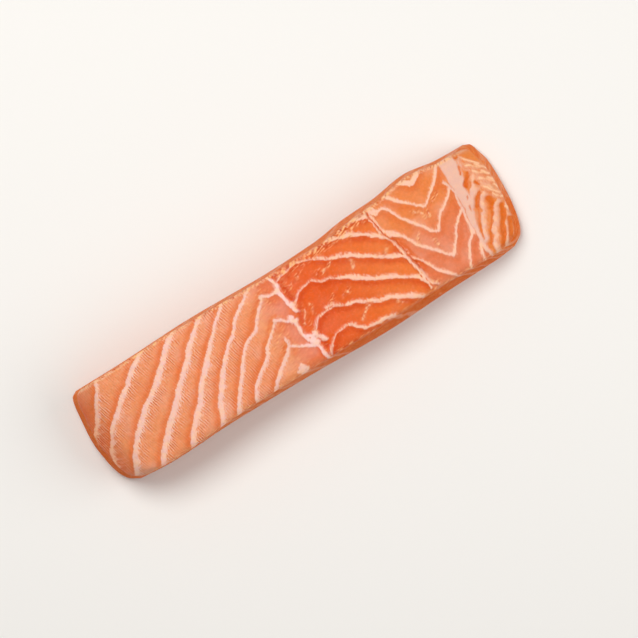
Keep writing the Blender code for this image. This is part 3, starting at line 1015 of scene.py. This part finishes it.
def fine_relief(tree, shader, grain, tissue, marks):
    """Bump of the grain, the tissue, the threads and the strokes."""
    height = maths(tree, "MULTIPLY_ADD", grain, 0.55, maths(tree, "MULTIPLY", tissue, 0.35))
    height = maths(tree, "MULTIPLY_ADD", marks, 0.25, height)
    bumps = {"Strength": 0.8, "Distance": BUMP_DEPTH, "Height": height}
    relief = node(tree, "ShaderNodeBump", bumps).outputs[0]
    tree.links.new(relief, shader.inputs["Normal"])
    tree.links.new(relief, shader.inputs["Coat Normal"])


def flesh_material():
    """Wet salmon flesh: threads, ragged pale tissue, torn strokes with painted glints, and moist
    highlights.
    """
    material = bpy.data.materials.new("salmon_flesh")
    material.use_nodes = True
    tree = material.node_tree
    shader = tree.nodes["Principled BSDF"]
    for name, value in FLESH_SETTINGS.items():
        shader.inputs[name].default_value = value
    place = node(tree, "ShaderNodeTexCoord").outputs["Object"]
    place = vector(tree, "MULTIPLY", place, (1 / MM,) * 3)
    grain = spread(tree, place, *GRAIN)
    ticks = maths(tree, "MULTIPLY", fibre_ticks(tree, place), attribute(tree, "fibre"))
    stroke_and_glint = maths(tree, "MULTIPLY", strokes(tree, place, *TORN_AND_GLINT_STROKES), attribute(tree, "torn_and_glint"))
    tissue = tissue_colour(tree, place)
    share = tissue_share(tree, place, ticks)
    colour = mix(tree, share, muscle_colour(tree, place, ticks, grain, tissue), tissue)
    tree.links.new(torn_and_glint_colour(tree, colour, stroke_and_glint), shader.inputs["Base Color"])
    wet_film(tree, shader, place)
    fine_relief(tree, shader, grain, share, maths(tree, "ADD", ticks, stroke_and_glint))
    return material


def fillet():
    """The strip as one closed piece that stands for the solid."""
    mesh, cube, facing = build_mesh()
    points, pattern, level = shape(cube)
    dent_sides(points, cube, pattern, level)
    low, high = (np.array(corner) / MM for corner in cad_box)
    points = np.clip(points, low, high)
    mesh.vertices.foreach_set("co", (points * MM).ravel())
    mesh.update()
    paint(mesh, pattern, level)
    unwrap(mesh, points, facing)
    mesh.shade_smooth()
    mesh.set_sharp_from_angle(angle=SMOOTH_BEND)
    mesh.materials.append(flesh_material())
    piece = bpy.data.objects.new("fillet_flesh", mesh)
    bpy.context.scene.collection.objects.link(piece)
    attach(piece, "root")
    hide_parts(NODE)


def camera():
    """Straight above, turned so that the strip rises to the right as in the photograph."""
    right = (STRIP_AT[0] - IMAGE_SIDE / 2) * MM_PER_PIXEL * MM
    up = (IMAGE_SIDE / 2 - STRIP_AT[1]) * MM_PER_PIXEL * MM
    cos, sin = math.cos(STRIP_TURN), math.sin(STRIP_TURN)
    data = bpy.data.cameras.new("camera")
    data.sensor_width = SENSOR_MM
    data.lens = SENSOR_MM * (CAMERA_HEIGHT - FACE_LEVEL) / (IMAGE_SIDE * MM_PER_PIXEL * MM)
    seer = bpy.data.objects.new("camera", data)
    seer.location = (-right * cos - up * sin, right * sin - up * cos, CAMERA_HEIGHT)
    seer.rotation_euler = (0, 0, -STRIP_TURN)
    bpy.context.scene.collection.objects.link(seer)
    bpy.context.scene.camera = seer


def area_light(name, place, size, power, colour):
    """Round soft light aimed at the strip."""
    data = bpy.data.lights.new(name, "AREA")
    data.shape = "DISK"
    data.size = size
    data.energy = power
    data.color = colour
    lamp = bpy.data.objects.new(name, data)
    lamp.location = place
    tilt = math.atan2(math.hypot(place[0], place[1]), place[2])
    lamp.rotation_euler = (tilt, 0, math.atan2(place[0], -place[1]))
    bpy.context.scene.collection.objects.link(lamp)


def pale_floor():
    """Plain pale floor just under the strip."""
    material = bpy.data.materials.new("pale_floor")
    material.use_nodes = True
    shader = material.node_tree.nodes["Principled BSDF"]
    shader.inputs["Base Color"].default_value = FLOOR_COLOUR
    shader.inputs["Roughness"].default_value = FLOOR_ROUGHNESS
    bpy.ops.mesh.primitive_plane_add(size=FLOOR_SIDE, location=(0, 0, FLOOR_LEVEL))
    floor = bpy.context.active_object
    floor.name = "floor"
    floor.data.materials.append(material)


def studio():
    """Soft light, mostly from the upper left of the picture, in a pale surround."""
    pale_floor()
    for light in LIGHTS:
        area_light(*light)
    world = bpy.data.worlds.new("surround")
    world.use_nodes = True
    background = world.node_tree.nodes["Background"]
    background.inputs["Color"].default_value = SURROUND_COLOUR
    background.inputs["Strength"].default_value = SURROUND_STRENGTH
    bpy.context.scene.world = world
    bpy.context.scene.view_settings.view_transform = "Standard"


camera()
fillet()
studio()
